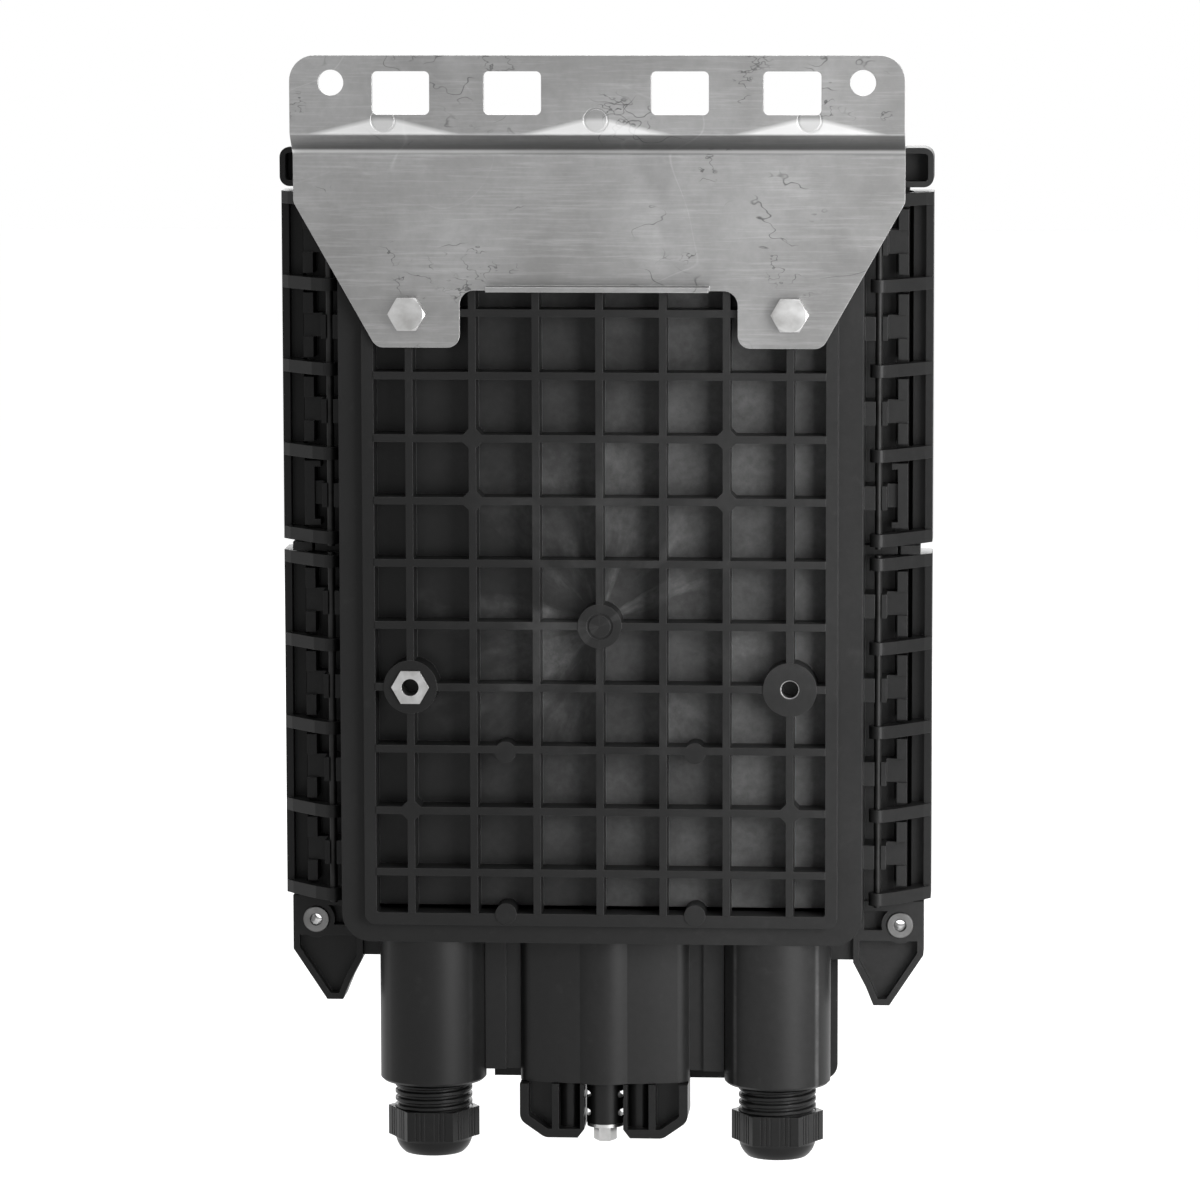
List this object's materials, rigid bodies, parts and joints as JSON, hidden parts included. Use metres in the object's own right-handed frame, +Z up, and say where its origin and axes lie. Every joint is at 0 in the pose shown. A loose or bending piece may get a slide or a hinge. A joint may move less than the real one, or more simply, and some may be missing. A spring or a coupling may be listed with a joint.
{
  "type": "fibre optic splice closure",
  "caption": "Black plastic fibre splice closure with side latches, round and oval cable ports at the foot, and a joggled steel wall bracket on its ribbed back.",
  "frame": {"origin": "midway between the bracket's two wall holes, on the wall", "axes": "+X right seen from the front, +Y towards the wall, +Z up, ports point down"},
  "size_m": [0.26, 0.1234, 0.4413],
  "materials": {
    "shell_plastic": "moulded black engineering plastic, slightly satin",
    "latch_plastic": "moulded black plastic",
    "fitting_plastic": "moulded black nylon",
    "seal_rubber": "soft black rubber",
    "bracket_steel": "satin sheet with fine scratches",
    "bolt_steel": "plain bright steel",
    "insert_metal": "turned metal",
    "rod_steel": "dark drawn rod",
    "screw_steel": "plated steel",
    "tray_plastic": "moulded white plastic",
    "holder_plastic": "soft grey plastic",
    "lid_plastic": "clear moulded plastic",
    "strap_fabric": "woven hook and loop strap"
  },
  "bodies": {
    "closure": {"base_shell": "shell_plastic", "cover_gasket": "seal_rubber", "mounting_bracket": "bracket_steel", "tray_carrier": "tray_plastic", "carrier_screws": "screw_steel", "tray_lid": "lid_plastic", "tray_strap": "strap_fabric", "oval_port_seal": "seal_rubber", "oval_port_inner_plate": "fitting_plastic", "oval_port_nut": "bolt_steel", "bracket_bolt_left": "bolt_steel", "ear_bushing_left": "insert_metal", "gland_body_left": "fitting_plastic", "gland_seal_left": "seal_rubber", "oval_port_plug_left": "seal_rubber", "strength_clamp_left": "screw_steel", "clamp_screw_left": "screw_steel", "hinge_rod_upper_left": "rod_steel", "threaded_insert_upper_left": "insert_metal", "hinge_rod_lower_left": "rod_steel", "threaded_insert_lower_left": "insert_metal", "bracket_bolt_right": "bolt_steel", "ear_bushing_right": "insert_metal", "gland_body_right": "fitting_plastic", "gland_seal_right": "seal_rubber", "oval_port_plug_right": "seal_rubber", "strength_clamp_right": "screw_steel", "clamp_screw_right": "screw_steel", "hinge_rod_upper_right": "rod_steel", "threaded_insert_upper_right": "insert_metal", "hinge_rod_lower_right": "rod_steel", "threaded_insert_lower_right": "insert_metal", "splice_tray_1": "tray_plastic", "splice_holder_1": "holder_plastic", "splice_tray_2": "tray_plastic", "splice_holder_2": "holder_plastic", "splice_tray_3": "tray_plastic", "splice_holder_3": "holder_plastic", "splice_tray_4": "tray_plastic", "splice_holder_4": "holder_plastic"},
    "cover": {"cover_shell": "shell_plastic"},
    "oval_plate": {"oval_port_outer_plate": "fitting_plastic", "oval_port_washer": "bolt_steel"},
    "oval_bolt": {"oval_port_bolt": "bolt_steel"},
    "gland_ring_left": {"gland_clamp_ring_left": "fitting_plastic"},
    "gland_nut_left": {"gland_nut_left": "fitting_plastic"},
    "latch_upper_left": {"latch_upper_left": "latch_plastic"},
    "latch_lower_left": {"latch_lower_left": "latch_plastic"},
    "gland_ring_right": {"gland_clamp_ring_right": "fitting_plastic"},
    "gland_nut_right": {"gland_nut_right": "fitting_plastic"},
    "latch_upper_right": {"latch_upper_right": "latch_plastic"},
    "latch_lower_right": {"latch_lower_right": "latch_plastic"}
  },
  "joints": [
    {"name": "cover_lift", "type": "slide", "parent": "closure", "child": "cover", "axis": [0, -1, 0], "range_m": [0, 0.05]},
    {"name": "latch_upper_left_hinge", "type": "hinge", "parent": "closure", "child": "latch_upper_left", "pos_m": [-0.109, -0.038, -0.11495], "axis": [0, 0, -1], "range_deg": [0, 105]},
    {"name": "latch_lower_left_hinge", "type": "hinge", "parent": "closure", "child": "latch_lower_left", "pos_m": [-0.109, -0.038, -0.25895], "axis": [0, 0, -1], "range_deg": [0, 105]},
    {"name": "latch_upper_right_hinge", "type": "hinge", "parent": "closure", "child": "latch_upper_right", "pos_m": [0.109, -0.038, -0.11495], "axis": [0, 0, 1], "range_deg": [0, 105]},
    {"name": "latch_lower_right_hinge", "type": "hinge", "parent": "closure", "child": "latch_lower_right", "pos_m": [0.109, -0.038, -0.25895], "axis": [0, 0, 1], "range_deg": [0, 105]},
    {"name": "gland_ring_left_slide", "type": "slide", "parent": "closure", "child": "gland_ring_left", "axis": [0, 0, -1], "range_m": [0, 0.0073]},
    {"name": "gland_nut_left_turn", "type": "hinge", "parent": "gland_ring_left", "child": "gland_nut_left", "pos_m": [-0.0692, -0.0385, -0.4216], "axis": [0, 0, -1], "range_deg": [0, 900]},
    {"name": "gland_ring_right_slide", "type": "slide", "parent": "closure", "child": "gland_ring_right", "axis": [0, 0, -1], "range_m": [0, 0.0073]},
    {"name": "gland_nut_right_turn", "type": "hinge", "parent": "gland_ring_right", "child": "gland_nut_right", "pos_m": [0.0692, -0.0385, -0.4216], "axis": [0, 0, -1], "range_deg": [0, 900]},
    {"name": "oval_plate_slide", "type": "slide", "parent": "closure", "child": "oval_plate", "axis": [0, 0, -1], "range_m": [0, 0.0048]},
    {"name": "oval_bolt_turn", "type": "hinge", "parent": "oval_plate", "child": "oval_bolt", "pos_m": [0, -0.0385, -0.422], "axis": [0, 0, -1], "range_deg": [0, 2160]}
  ],
  "couplings": [
    {"joint": "latch_upper_left_hinge", "follows": "cover_lift", "rad_per_m": 36.65},
    {"joint": "latch_lower_left_hinge", "follows": "cover_lift", "rad_per_m": 36.65},
    {"joint": "latch_upper_right_hinge", "follows": "cover_lift", "rad_per_m": 36.65},
    {"joint": "latch_lower_right_hinge", "follows": "cover_lift", "rad_per_m": 36.65},
    {"joint": "gland_ring_left_slide", "follows": "gland_nut_left_turn", "m_per_rad": 0.00046155},
    {"joint": "gland_ring_right_slide", "follows": "gland_nut_right_turn", "m_per_rad": 0.00046155},
    {"joint": "oval_bolt_turn", "follows": "oval_plate_slide", "rad_per_m": 7854}
  ]
}
